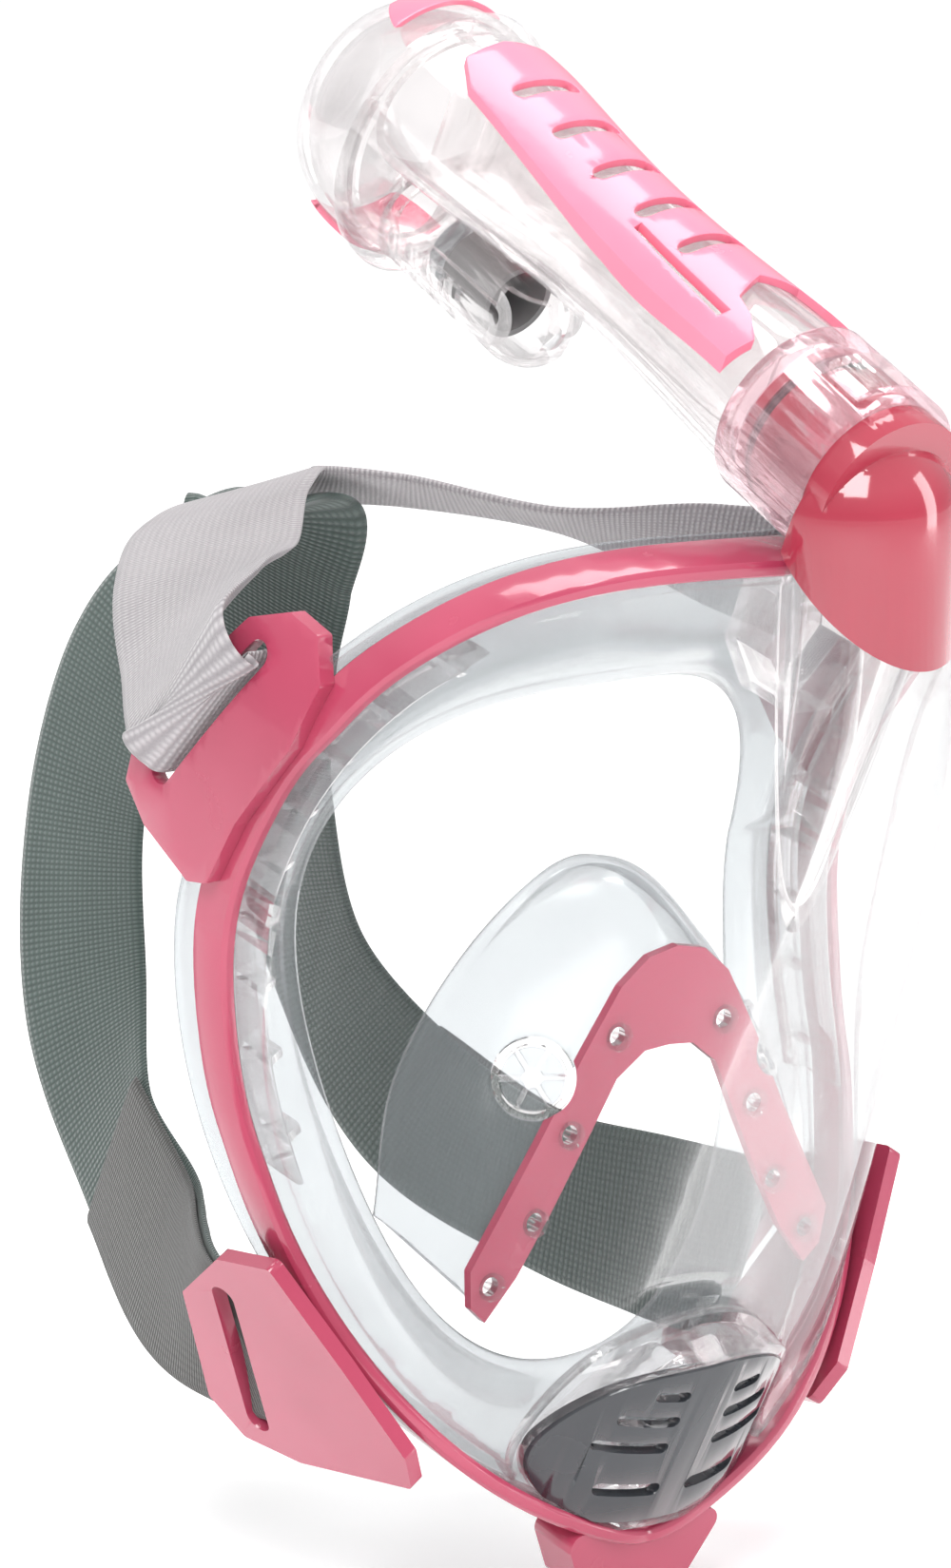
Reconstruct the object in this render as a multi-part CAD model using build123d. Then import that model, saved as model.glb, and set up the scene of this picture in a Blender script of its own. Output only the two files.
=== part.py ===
from build123d import *
import os
from math import atan2, cos, degrees, pi, radians, sin

# Full face snorkel mask.  Millimetres.
# Everything is modelled in the mask's own upright frame: +X to the wearer's left,
# -Y forwards, +Z up, with the origin midway between the temples.  The export
# then tips the whole object forward by HEAD_TILT, the way the mask hangs in use.

HEAD_TILT = 15.7

# Face frame outline
HALF_WIDTH = 84.0
TOP_HEIGHT = 99.0
CHIN_DEPTH = 123.0
WIDEST_Z = -2.0
RING_DEPTH = 80.0
RING_WIDTH = 11.0
RING_WALL = 3.5
RING_CHAMFER = 0.9
CHIN_TAB_WIDTH = 12.0

# Lens
LENS_WALL = 2.5
LENS_FULLNESS = 2.3
LENS_RIM_WALL = 2.6
LENS_RIM_BACK = 4.0
LENS_RIM_LAP = 1.3

# Silicone skirt and nose-mouth pocket
SKIRT_WALL = 1.8
SKIRT_FLANGE_PROUD = 2.4
POCKET_WALL = 1.8

# Snorkel
TUBE_SLOPE = 11.3
TUBE_ORIGIN_Y = -76.0
TUBE_ORIGIN_Z = 114.2
TUBE_START = 26.0
TUBE_END = 142.0
TUBE_WALL = 2.0
TUBE_BASE_RADIUS = 17.6
TUBE_WAIST_RADIUS = 15.4
TUBE_TOP_HALF_WIDTH = 21.5
TUBE_TOP_HALF_HEIGHT = 17.5
COLLAR_RADIUS = 19.8
COLLAR_WALL = 2.2
SPIGOT_LENGTH = 21.5
SPIGOT_BORE = 14.0
ELBOW_RADIUS = 19.0
ELBOW_WALL = 2.4
HOOD_LEAN = 16.0
O_RING_SECTION = 1.1
O_RING_PLACE = 18.0

# Dry top
CAP_HALF_WIDTH = 23.5
CAP_LENGTH = 33.0
CAP_WALL = 1.8
FLANGE_THICKNESS = 3.0
CHAMBER_START = 104.0
CHAMBER_RADIUS = 11.5
CHAMBER_DROP = 26.5
CHAMBER_WALL = 1.6
FLOAT_RADIUS = 8.6
FLOAT_LENGTH = 15.0

# Drain valve
DRAIN_Y = -81.0
DRAIN_Z = -97.0
DRAIN_LEAN = 14.5
DRAIN_BEND = 50.0
DRAIN_HALF_WIDTH = 32.0
DRAIN_TOP = 21.0
DRAIN_BOTTOM = 21.0
DRAIN_COVER_WALL = 2.4
DRAIN_HOUSING_WALL = 2.2
DRAIN_SEAT_RADIUS = 13.0

# Bridge plate over the nose, its studs and the breathing valves
PLATE_SLOPE = -0.145
PLATE_TOP_Y = -46.5
PLATE_WALL = 2.0
STUD_RADIUS = 2.0
STUD_HEAD_RADIUS = 3.0
STUD_PLACES = ((14.4, -16.9), (25.0, -36.3), (32.5, -53.8), (42.8, -65.9))
VALVE_RADIUS = 8.5

# Exhaust channels
CHANNEL_OUT = -6.9
CHANNEL_DEEP = 7.0
CHANNEL_RIBS = 9

# Intake duct
DUCT_WALL = 1.8
DUCT_END_RADIUS = 6.0
DUCT_TOP_Y = -78.4
DUCT_TOP_Z = 96.9

INLET_WIDTH = 14.0
INLET_HEIGHT = 12.0

# Release button
BUTTON_WIDTH = 15.0
BUTTON_LENGTH = 11.0

# Inside and on the tube
TUBE_DIVIDER_X = 6.0
TUBE_DIVIDER_WALL = 1.2
TUBE_PLATE_WALL = 1.8
PLATE_END = 136.0
PLATE_SLOTS = 5
CAP_FRONT = 18.5
CAP_BACK = 38.5
CAP_LEAN = 6.0
DRAIN_SEAT_Z = -9.0
UPPER_SLOT_TURN = 120.0

# Strap and hooks
HOOK_WALL = 3.5
STRAP_WALL = 1.8
STRAP_HALF_WIDTH = 20.0

# Clearances
SEAT_GAP = 0.05
SLIDE_GAP = 0.06
MOVING_GAP = 0.4

SIDES = (("left", 1), ("right", -1))


# ---------------------------------------------------------------- outline helpers

def outline_radius(angle, inset):
    """Distance from the outline's centre to its edge, at an angle from the top."""
    across = abs(sin(angle))
    upward = cos(angle)
    low, high = 0.0, 200.0
    for _ in range(50):
        middle = (low + high) / 2
        x = middle * across / (HALF_WIDTH - inset)
        if upward > 0:
            reach = x ** 3.5 + (middle * upward / (TOP_HEIGHT - inset)) ** 3.5
        else:
            reach = x ** 1.3 + (-middle * upward / (CHIN_DEPTH - inset)) ** 3.4
        if reach < 1:
            low = middle
        else:
            high = middle
    return low


def outline_point(angle, inset=0.0):
    radius = outline_radius(angle, inset)
    return radius * sin(angle), WIDEST_Z + radius * cos(angle)


def outline_normal(angle):
    """Outward direction across the outline in the XZ plane."""
    if angle < 1e-6:
        return 0.0, 1.0
    if angle > pi - 1e-6:
        return 0.0, -1.0
    step = 0.04
    x0, z0 = outline_point(max(angle - step, 0.0))
    x1, z1 = outline_point(min(angle + step, pi))
    length = ((x1 - x0) ** 2 + (z1 - z0) ** 2) ** 0.5
    return -(z1 - z0) / length, (x1 - x0) / length


def depth_at(z):
    """How far forward the front of the mask stands at a height."""
    fall = 88.0 if z > 10 else 139.0
    return RING_DEPTH - 14.0 * ((z - 10.0) / fall) ** 2


def ring_y(x, z):
    return -depth_at(z) * max(0.0, 1 - (x / HALF_WIDTH) ** 2) ** 0.5


def lens_y(x, z, grow=0.0):
    half = HALF_WIDTH - 3.0 + grow
    share = min(abs(x) / half, 1.0)
    return -(depth_at(z) + grow) * (1 - share ** LENS_FULLNESS) ** (1 / LENS_FULLNESS)


def polygon(points):
    return Face(Wire.make_polygon([Vector(*point) for point in points], close=True))


def both_sides(half):
    """Join a solid built on the +X side to its mirror image."""
    return half + mirror(half, about=Plane.YZ)


def largest(shape):
    """The main solid of a cut shape, without any loose chips."""
    return max(shape.solids(), key=lambda solid: solid.volume)


def swept_half(section, start=0.0, end=pi, steps=16):
    """Loft a closed section from one angle of the outline to another."""
    angles = [start + (end - start) * step / steps for step in range(steps + 1)]
    return loft([polygon(section(angle)) for angle in angles])


def along_normal(angle, offsets, y_centre):
    """Section corners given as (outward, backward) from the outline's edge."""
    x, z = outline_point(angle)
    nx, nz = outline_normal(angle)
    return [(x + nx * out, y_centre + back, z + nz * out) for out, back in offsets]


def outline_prism(inset):
    """Everything inside the outline, drawn in by an inset."""
    steps = 30
    points = []
    for step in range(steps + 1):
        x, z = outline_point(pi * step / steps)
        nx, nz = outline_normal(pi * step / steps)
        points.append((x - nx * inset, 0, z - nz * inset))
    edge = Spline(*points)
    half = Face(Wire([edge, Line(points[-1], points[0])]))
    return both_sides(extrude(half, amount=220, dir=(0, -1, 0), both=True))


def barrel(grow):
    """The mask's curved front as a solid, closed at the temples."""
    sections = []
    for z in (112, 80, 48, 16, -20, -60, -100, -138):
        half = HALF_WIDTH - 3.0 + grow
        points = []
        for step in range(17):
            angle = pi * step / 16
            x = -half * cos(angle)
            x = max(-half, min(half, x))
            points.append((x, lens_y(x, z, grow), z))
        front = Spline(*points, tangents=[(0, -1, 0), (0, 1, 0)])
        sections.append(Face(Wire([front, Line(points[-1], points[0])])))
    return loft(sections)


BARREL = barrel(0)
BARREL_INNER = barrel(-LENS_WALL)


# ---------------------------------------------------------------- frames of sub-parts

TUBE_AXIS = Vector(0, cos(radians(TUBE_SLOPE)), sin(radians(TUBE_SLOPE)))
TUBE_PLANE = Plane(origin=(0, TUBE_ORIGIN_Y, TUBE_ORIGIN_Z), x_dir=(-1, 0, 0), z_dir=TUBE_AXIS)
DRAIN_NORMAL = Vector(0, -cos(radians(DRAIN_LEAN)), -sin(radians(DRAIN_LEAN)))
DRAIN_PLANE = Plane(origin=(0, DRAIN_Y, DRAIN_Z), x_dir=(1, 0, 0), z_dir=DRAIN_NORMAL)


def on_tube(shape):
    """Place a shape drawn about the tube: Z along the tube, Y to its front face."""
    return TUBE_PLANE.location * shape


def on_drain(shape):
    """Place a shape drawn on the drain: Z outwards, Y up."""
    return DRAIN_PLANE.location * shape


def flat_plate(corners, thickness, corner=0.0):
    """A plate standing on the XY plane, with its corners rounded."""
    face = Face(Wire.make_polygon([Vector(x, y, 0) for x, y in corners], close=True))
    if corner:
        face = fillet(face.vertices(), corner)
    return extrude(face, amount=thickness, dir=(0, 0, 1))


def rod(radius, start, end):
    """A cylinder along Z between two heights."""
    return Pos(0, 0, (start + end) / 2) * Cylinder(radius, end - start)


# ---------------------------------------------------------------- mask shell

def make_ring(grow=0.0):
    def section(angle):
        x, z = outline_point(angle)
        half = RING_WIDTH / 2 + 1.5 * cos(angle) ** 4 + grow
        cut = RING_CHAMFER
        outer, inner = grow, -RING_WALL - grow
        corners = [(inner, -half + cut), (inner + cut, -half), (outer - cut, -half),
                   (outer, -half + cut), (outer, half - cut), (outer - cut, half),
                   (inner + cut, half), (inner, half - cut)]
        return along_normal(angle, corners, ring_y(x, z))

    ring = both_sides(swept_half(section, steps=20))
    # tab under the chin, where the frame is gripped to pull the mask off
    bottom = WIDEST_Z - CHIN_DEPTH
    tab = flat_plate([(-22, 5), (22, 5), (14, -10), (-14, -10)], CHIN_TAB_WIDTH, corner=3.0)
    tab_place = Plane(origin=(0, ring_y(0, bottom) + CHIN_TAB_WIDTH / 2, bottom),
                      x_dir=(1, 0, 0), z_dir=(0, -1, 0))
    saddle = on_tube(rod(COLLAR_RADIUS + MOVING_GAP, -1, 80))
    return ring + tab_place.location * tab - saddle


def make_lens(ring):
    shell = (BARREL - BARREL_INNER) & outline_prism(RING_WALL + SEAT_GAP + LENS_RIM_LAP)

    def rim(angle):
        x, z = outline_point(angle, RING_WALL + 1.5)
        outer = -RING_WALL - SEAT_GAP
        inner = outer - LENS_RIM_WALL
        front = min(lens_y(x, z) - ring_y(*outline_point(angle)), -4.0)
        corners = [(outer, front), (outer, LENS_RIM_BACK), (inner, LENS_RIM_BACK), (inner, front)]
        return along_normal(angle, corners, ring_y(*outline_point(angle)))

    lens = shell + both_sides(swept_half(rim, steps=20)) - ring
    inlet = Pos(0, -DUCT_TOP_Z, 78) * Box(INLET_WIDTH, 90, INLET_HEIGHT)
    drain_hole = on_drain(drain_block(DRAIN_HOUSING_WALL + MOVING_GAP + SEAT_GAP, -40, 10))
    return largest(lens - inlet - drain_hole)


# ---------------------------------------------------------------- skirt and pocket

def radial_points(angle, places):
    """Corners given as (radius, y) in the plane through the centre line at an angle."""
    return [(radius * sin(angle), y, WIDEST_Z + radius * cos(angle)) for radius, y in places]


def opening_edge(angle):
    """Edge of the face opening: radius from the centre line, and depth."""
    upper = cos(angle) > 0
    half_height = 47.0 if upper else 96.0
    radius = 1 / ((abs(sin(angle)) / 58.0) ** 2.2 + (abs(cos(angle)) / half_height) ** 2.2) ** (1 / 2.2)
    drop = 18.0 if upper else 41.0
    return radius, 3.0 - drop * cos(angle) ** 2


def make_skirt():
    def section(angle):
        edge = outline_radius(angle, 0)
        y = ring_y(*outline_point(angle))
        back = y + RING_WIDTH / 2 + 1.0 + 1.5 * cos(angle) ** 4
        proud = edge + SKIRT_FLANGE_PROUD * sin(angle) ** 2
        lip, lip_y = opening_edge(angle)
        bulge = 4.0 if cos(angle) > 0 else 2.0
        mid = edge * 0.35 + lip * 0.65
        mid_y = back * 0.35 + lip_y * 0.65 - bulge
        wall = SKIRT_WALL
        return radial_points(angle, [
            (proud, back), (edge - 6.0, back), (mid, mid_y), (lip, lip_y),
            (lip + 0.4, lip_y + wall), (mid + 0.8, mid_y + wall + 0.8),
            (edge - 4.6, back + 3.8), (proud, back + 3.8)])

    return both_sides(swept_half(section, steps=18))


POCKET_FRONT = Spline((0, -46.7, -1.5), (21, -49.4, -20), (36, -53.0, -45), (44.5, -56.9, -72),
                      tangents=[(1, 0, 0), (0.2, -0.2, -1)])
POCKET_MIDDLE = Spline((0, -30, 9.5), (22, -34, -9), (40, -42, -34), (49, -50, -64),
                       tangents=[(1, 0, 0), (0.2, -0.5, -1)])
POCKET_BACK = Spline((0, -14, 3.5), (26, -17, -9), (46, -22, -34), (54, -32, -60),
                     tangents=[(1, 0, 0), (0.2, -0.5, -1)])


def pocket_places(share):
    return POCKET_FRONT @ share, POCKET_MIDDLE @ share, POCKET_BACK @ share


def make_pocket():
    sections = []
    for step in range(11):
        front, middle, back = pocket_places(step / 10)
        normal = (middle - front).cross(back - middle).normalized()
        rise_front = normal.cross(middle - front).normalized() * POCKET_WALL
        rise_back = normal.cross(back - middle).normalized() * POCKET_WALL
        rise_mid = (rise_front + rise_back).normalized() * POCKET_WALL
        if step == 0:
            rise_front, rise_back, rise_mid = [
                Vector(0, rise.Y, rise.Z) for rise in (rise_front, rise_back, rise_mid)]
        sections.append(polygon([front, middle, back,
                                 back + rise_back, middle + rise_mid, front + rise_front]))
    return both_sides(loft(sections))


# ---------------------------------------------------------------- fittings inside the lens

PLATE_PLANE = Plane(origin=(0, PLATE_TOP_Y, 0), x_dir=(1, 0, 0), z_dir=(0, -1, -PLATE_SLOPE))


def plate_height(z):
    """Distance up the bridge plate for a height of the mask."""
    return z * (1 + PLATE_SLOPE ** 2) ** 0.5


def make_bridge_plate():
    outer = [(0, 0.5), (7.5, -1.0), (14.5, -6.5), (23.5, -20.5), (33.0, -37.0), (41.0, -50.0),
             (48.5, -62.0), (47.5, -70.0), (43.5, -73.5)]
    inner = [(36.0, -65.0), (28.5, -53.0), (20.0, -38.0), (13.5, -26.0), (6.5, -21.0), (0, -20.5)]
    half = outer + inner
    whole = half + [(-x, z) for x, z in reversed(half[1:-1])]
    plate = flat_plate([(x, plate_height(z)) for x, z in whole], PLATE_WALL)
    for x, z in STUD_PLACES:
        for side in (1, -1):
            hole = Cylinder(STUD_RADIUS + SEAT_GAP, 3 * PLATE_WALL)
            plate -= Pos(side * x, plate_height(z), 0) * hole
    return PLATE_PLANE.location * plate


def make_studs():
    studs = []
    for x, z in STUD_PLACES:
        for side in (1, -1):
            stud = rod(STUD_RADIUS, 0, PLATE_WALL) + rod(STUD_HEAD_RADIUS, PLATE_WALL, PLATE_WALL + 1.2)
            stud -= rod(STUD_RADIUS * 0.45, 0.8, PLATE_WALL + 1.2)
            studs.append(PLATE_PLANE.location * (Pos(side * x, plate_height(z), 0) * stud))
    return Compound(children=studs)


def valve_plane(side):
    """Where a breathing valve sits in the flank of the pocket, facing outwards."""
    share = 0.5
    front, middle, _ = pocket_places(share)
    ahead, ahead_middle, _ = pocket_places(share + 0.05)
    normal = (middle - front).cross((ahead + ahead_middle) - (front + middle)).normalized()
    if normal.X < 0:
        normal = -normal
    centre = (front + middle) * 0.5 + normal * (POCKET_WALL / 2)
    along = (ahead - front)
    plane = Plane(origin=centre, x_dir=along, z_dir=normal)
    if side > 0:
        return plane
    return Plane(origin=(-centre.X, centre.Y, centre.Z), x_dir=(-along.X, along.Y, along.Z),
                 z_dir=(-normal.X, normal.Y, normal.Z))


def make_valve_seat():
    seat = rod(VALVE_RADIUS, -1.4, 1.4) - rod(VALVE_RADIUS - 1.4, -1.5, 1.5)
    for turn in range(3):
        seat += Rot(0, 0, 60 * turn) * Pos(0, 0, 0.7) * Box(2 * VALVE_RADIUS - 2, 1.2, 1.4)
    return seat + rod(2.2, 0, 1.4)


def make_valve_flap():
    return rod(VALVE_RADIUS - 1.9, -0.8, -SEAT_GAP)


def make_exhaust_channel():
    """Open-sided channel down the inside of the frame, with a cross rib at each step."""
    start, end = radians(42), radians(122)

    def section(angle):
        base = ring_y(*outline_point(angle))
        corners = [(CHANNEL_OUT, -9), (CHANNEL_OUT, 3), (CHANNEL_OUT - CHANNEL_DEEP, 3),
                   (CHANNEL_OUT - CHANNEL_DEEP, 1.6), (CHANNEL_OUT - 1.4, 1.6), (CHANNEL_OUT - 1.4, -9)]
        return along_normal(angle, corners, base)

    channel = swept_half(section, start, end, steps=10)
    for step in range(CHANNEL_RIBS):
        angle = start + (end - start) * (step + 0.5) / CHANNEL_RIBS
        half = 0.7 / HALF_WIDTH

        def rib(place):
            base = ring_y(*outline_point(place))
            inner = CHANNEL_OUT - CHANNEL_DEEP
            corners = [(CHANNEL_OUT - 0.7, -8.5), (CHANNEL_OUT - 0.7, 2.3), (inner, 2.3), (inner, -5)]
            return along_normal(place, corners, base)

        channel += swept_half(rib, angle - half, angle + half, steps=1)
    return channel


def make_baffle():
    """Cup under the air inlet that spreads fresh air over the lens."""
    rim = [(-11, 87), (11, 87), (13, 74), (6, 63), (-6, 63), (-13, 74)]
    inner = [(-9.4, 92), (9.4, 92), (11.3, 74.3), (5.2, 64.6), (-5.2, 64.6), (-11.3, 74.3)]
    place = Plane(origin=(0, -57, 0), x_dir=(1, 0, 0), z_dir=(0, -1, 0))
    cup = flat_plate(rim, 30) - Pos(0, 0, 1.6) * flat_plate(inner, 30)
    return (place.location * cup) & BARREL_INNER


# ---------------------------------------------------------------- elbow and air intake

HOOD_AXIS = Vector(0, -sin(radians(HOOD_LEAN)), -cos(radians(HOOD_LEAN)))
HOOD_PLANE = Plane(origin=(0, -75.5, 107.0), x_dir=(1, 0, 0), z_dir=HOOD_AXIS)
HOOD_LENGTH = 40.0
HOOD_TIP = (-98.5, 86.0)
HOOD_CUT_SLOPE = 29.0


def above_hood_cut(shape):
    """Keep what stands above the slanted lower edge of the hood."""
    cut = Plane(origin=(0, HOOD_TIP[0], HOOD_TIP[1]), x_dir=(1, 0, 0),
                z_dir=(0, -sin(radians(HOOD_CUT_SLOPE)), cos(radians(HOOD_CUT_SLOPE))))
    block = cut.location * (Pos(0, 30, 100) * Box(200, 300, 200))
    return shape & block


def make_elbow(ring):
    dome = HOOD_PLANE.location * (Sphere(ELBOW_RADIUS) + rod(ELBOW_RADIUS, 0, HOOD_LENGTH))
    dome = above_hood_cut(dome) - BARREL - ring
    shoulder = on_tube(rod(3 * COLLAR_RADIUS, -MOVING_GAP, 80))
    dome -= shoulder
    spigot_radius = COLLAR_RADIUS - COLLAR_WALL - SLIDE_GAP
    spigot = on_tube(rod(spigot_radius, -6.0, SPIGOT_LENGTH))
    groove = on_tube(rod(spigot_radius + 1, O_RING_PLACE - O_RING_SECTION, O_RING_PLACE + O_RING_SECTION)
                     - rod(spigot_radius - 2 * O_RING_SECTION + SLIDE_GAP,
                           O_RING_PLACE - 2, O_RING_PLACE + 2))
    catch = on_tube(Pos(0, spigot_radius, 10) * Box(BUTTON_WIDTH + 3, 5.0, BUTTON_LENGTH + 3))
    hollow = HOOD_PLANE.location * (Sphere(ELBOW_RADIUS - ELBOW_WALL)
                                    + rod(ELBOW_RADIUS - ELBOW_WALL, 0, HOOD_LENGTH + 1))
    bore = on_tube(rod(SPIGOT_BORE, 0, SPIGOT_LENGTH + 1))
    return dome + spigot - hollow - bore - groove - catch


def make_o_ring():
    middle = COLLAR_RADIUS - COLLAR_WALL - O_RING_SECTION
    return on_tube(Pos(0, 0, O_RING_PLACE) * Torus(middle, O_RING_SECTION))


def make_duct(ring, lens):
    """Clear funnel that carries air from the elbow down the front of the lens."""
    radius = ELBOW_RADIUS - ELBOW_WALL - 0.3

    def funnel(wall):
        rings = []
        for share in (0.0, 0.3, 0.65, 1.0):
            centre = Vector(0, DUCT_TOP_Y + 4.5 * share ** 2, DUCT_TOP_Z - 82 * share)
            size = radius + (DUCT_END_RADIUS - radius) * share - wall
            rings.append(Plane(origin=centre, x_dir=(1, 0, 0), z_dir=HOOD_AXIS) * Circle(size))
        return loft(rings)

    inner = funnel(DUCT_WALL)
    open_top = Plane(origin=(0, DUCT_TOP_Y, DUCT_TOP_Z), x_dir=(1, 0, 0), z_dir=HOOD_AXIS)
    inner += open_top.location * rod(radius - DUCT_WALL, -2, 1)
    return funnel(0) - inner - BARREL - ring - lens


# ---------------------------------------------------------------- drain valve

def drain_outline(grow):
    """Leaf-shaped outline of the drain, widened evenly."""
    half = DRAIN_HALF_WIDTH + grow
    top = DRAIN_TOP + grow
    bottom = -DRAIN_BOTTOM - grow
    right = [(0, top), (0.62 * half, top * 0.72), (0.95 * half, 0.05 * top), (half, 0.45 * bottom),
             (0.8 * half, 0.86 * bottom), (0, bottom)]
    left = [(-x, y) for x, y in reversed(right[1:-1])]
    return Face(Wire([Spline(*(right + left), periodic=True)]))


def drain_block(grow, start, end):
    return Pos(0, 0, start) * extrude(drain_outline(grow), amount=end - start, dir=(0, 0, 1))


def drain_curve(depth):
    """Everything behind the drain's curved face, set back by a depth."""
    bend = Rot(90, 0, 0) * Cylinder(DRAIN_BEND - depth, 90)
    return Pos(0, 0, -DRAIN_BEND) * bend


def make_drain_cover():
    shell = drain_curve(0) - drain_curve(DRAIN_COVER_WALL)
    cover = drain_block(0, -25, 2) & shell
    rows = [(13.0, 2.6, 11.0, 6.0), (6.2, 2.8, 17.0, 6.0), (-1.0, 2.8, 20.0, 6.0),
            (-12.5, 3.4, 16.0, 3.5)]
    for height, size, reach, start in rows:
        for side in (1, -1):
            length = reach - start + 3
            slot = SlotOverall(length, size)
            cut = Pos(side * (start + length / 2), height, -30) * extrude(slot, amount=40)
            cover -= cut
    cover = on_drain(cover)
    grown_ring = make_ring(MOVING_GAP)
    for travel in range(5):
        cover -= Pos(*(DRAIN_NORMAL * -travel)) * grown_ring
    return largest(cover)


def make_drain_housing(ring):
    """Clear wall that stands off the lens round the drain, and the floor inside it."""
    wall = drain_block(DRAIN_HOUSING_WALL + MOVING_GAP, -30, 4) - drain_block(MOVING_GAP, -31, 5)
    wall = wall & drain_curve(0.4)
    wall = on_drain(wall) - BARREL_INNER
    floor = on_drain(drain_block(DRAIN_HOUSING_WALL + MOVING_GAP, -30, 4)) & (BARREL - BARREL_INNER)
    floor = floor & on_drain(drain_curve(DRAIN_COVER_WALL + MOVING_GAP))
    floor -= on_drain(rod(DRAIN_SEAT_RADIUS + SEAT_GAP, -40, 10))
    return wall + floor - ring


def make_drain_seat():
    base = DRAIN_SEAT_Z
    seat = rod(DRAIN_SEAT_RADIUS, base - 2.2, base) - rod(DRAIN_SEAT_RADIUS - 2, base - 3, base + 1)
    for turn in range(3):
        seat += Rot(0, 0, 60 * turn) * Pos(0, 0, base - 1.1) * Box(2 * DRAIN_SEAT_RADIUS - 2, 1.4, 2.2)
    return on_drain(seat + rod(3.0, base - 2.2, base))


def make_drain_membrane():
    return on_drain(rod(DRAIN_SEAT_RADIUS - 0.8, DRAIN_SEAT_Z + SEAT_GAP, DRAIN_SEAT_Z + 0.85))


# ---------------------------------------------------------------- snorkel

def tube_loft(wall, start=TUBE_START, end=TUBE_END):
    sections = []
    for place, half_width, half_height in tube_sizes(start, end):
        plane = Plane(origin=(0, 0, place))
        sections.append(plane * Ellipse(half_width - wall, half_height - wall))
    return loft(sections)


def tube_sizes(start, end):
    """Half width and half height of the tube at four places along it."""
    base, waist = TUBE_BASE_RADIUS, TUBE_WAIST_RADIUS
    top_w, top_h = TUBE_TOP_HALF_WIDTH, TUBE_TOP_HALF_HEIGHT
    span = end - start
    return [(start, base, base), (start + 0.2 * span, waist + 1.2, waist + 1.2),
            (start + 0.45 * span, waist + 0.3, waist),
            (start + 0.72 * span, (waist + top_w) / 2, waist + 0.6), (end, top_w, top_h)]


def make_tube():
    outer = tube_loft(0)
    inner = tube_loft(TUBE_WALL)
    tube = outer - inner
    for side in (1, -1):
        wall = Pos(side * TUBE_DIVIDER_X, 0, (TUBE_START + TUBE_END) / 2)
        wall = wall * Box(TUBE_DIVIDER_WALL, 60, TUBE_END - TUBE_START - 6)
        tube += wall & inner
    return on_tube(tube)


def make_collar():
    collar = rod(COLLAR_RADIUS, 0, TUBE_START)
    collar -= rod(COLLAR_RADIUS - COLLAR_WALL, -1, SPIGOT_LENGTH + 0.5)
    collar -= rod(TUBE_BASE_RADIUS - TUBE_WALL, -1, TUBE_START + 1)
    window = Pos(0, COLLAR_RADIUS, 10) * Box(BUTTON_WIDTH, 12, BUTTON_LENGTH)
    return on_tube(collar - window)


def make_button():
    inner = COLLAR_RADIUS - COLLAR_WALL + 0.3
    outer = COLLAR_RADIUS + 0.6
    ring = rod(outer, 0, 30) - rod(inner, -1, 31)
    block = Pos(0, COLLAR_RADIUS, 10) * Box(BUTTON_WIDTH - 2 * MOVING_GAP, 12, BUTTON_LENGTH - 2 * MOVING_GAP)
    return on_tube(ring & block)


def plate_outline():
    """Tapered cover with two legs at its lower end."""
    half = [(0, PLATE_END), (10.5, PLATE_END - 1.5), (14.0, PLATE_END - 9), (14.8, 75), (16.6, 33),
            (12.5, 31), (9.5, 37), (8.0, 43), (0, 47)]
    whole = half + [(-x, z) for x, z in reversed(half[1:-1])]
    return [(x, z) for x, z in whole]


def make_tube_plate():
    """Cover plate that hugs the front of the tube."""
    hug = tube_loft(-TUBE_PLATE_WALL) - tube_loft(-SEAT_GAP)
    lie = Plane(origin=(0, 40, 0), x_dir=(1, 0, 0), z_dir=(0, -1, 0))
    block = lie.location * flat_plate(plate_outline(), 38)
    plate = hug & block
    for step in range(PLATE_SLOTS):
        place = 62 + step * 14.5
        width = 17.0
        slot = lie.location * extrude(Pos(0, place) * SlotOverall(width, 4.2), amount=38)
        plate -= slot
    leg_slot = flat_plate([(9.0, 74), (10.5, 74), (13.2, 42), (11.2, 41)], 38)
    for side in (1, -1):
        cut = leg_slot if side > 0 else mirror(leg_slot, about=Plane.YZ)
        plate -= lie.location * cut
    return on_tube(plate)


# ---------------------------------------------------------------- dry top

def oval(half_width, top, bottom):
    """Egg-shaped outline of the dry top, wide at the tube and narrower below."""
    middle = (top - bottom) / 2
    return Pos(0, middle) * Ellipse(half_width, (top + bottom) / 2)


def cap_oval(grow):
    return oval(CAP_HALF_WIDTH + grow, CAP_FRONT + grow, CAP_BACK + grow)


def make_flange():
    plate = Pos(0, 0, TUBE_END) * extrude(cap_oval(2.0), amount=FLANGE_THICKNESS)
    hole = Pos(0, 0, TUBE_END - 1) * extrude(
        Ellipse(TUBE_TOP_HALF_WIDTH - TUBE_WALL, TUBE_TOP_HALF_HEIGHT - TUBE_WALL), amount=9)
    valve_hole = Pos(0, -CHAMBER_DROP, 0) * rod(FLOAT_RADIUS - 2.5, TUBE_END - 1, TUBE_END + 9)
    rim = Pos(0, 0, TUBE_END + FLANGE_THICKNESS) * (
        extrude(cap_oval(-CAP_WALL - 0.8), amount=2) - extrude(cap_oval(-CAP_WALL - 2.4), amount=2))
    return on_tube(plate + rim - hole - valve_hole)


def dome_of(grow):
    """Rounded cap: an oval drawn in towards its far end."""
    base = TUBE_END + FLANGE_THICKNESS + SEAT_GAP
    sections = []
    for share in (0.0, 0.35, 0.62, 0.82, 0.94):
        shrink = (1 - share ** 2.4) ** 0.5
        reach = (CAP_LENGTH + grow) * share
        inset = (1 - shrink) * CAP_HALF_WIDTH
        lean = -CAP_LEAN * share ** 1.5
        sections.append(Pos(0, lean, base + reach) * cap_oval(grow - inset))
    return loft(sections)


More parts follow.
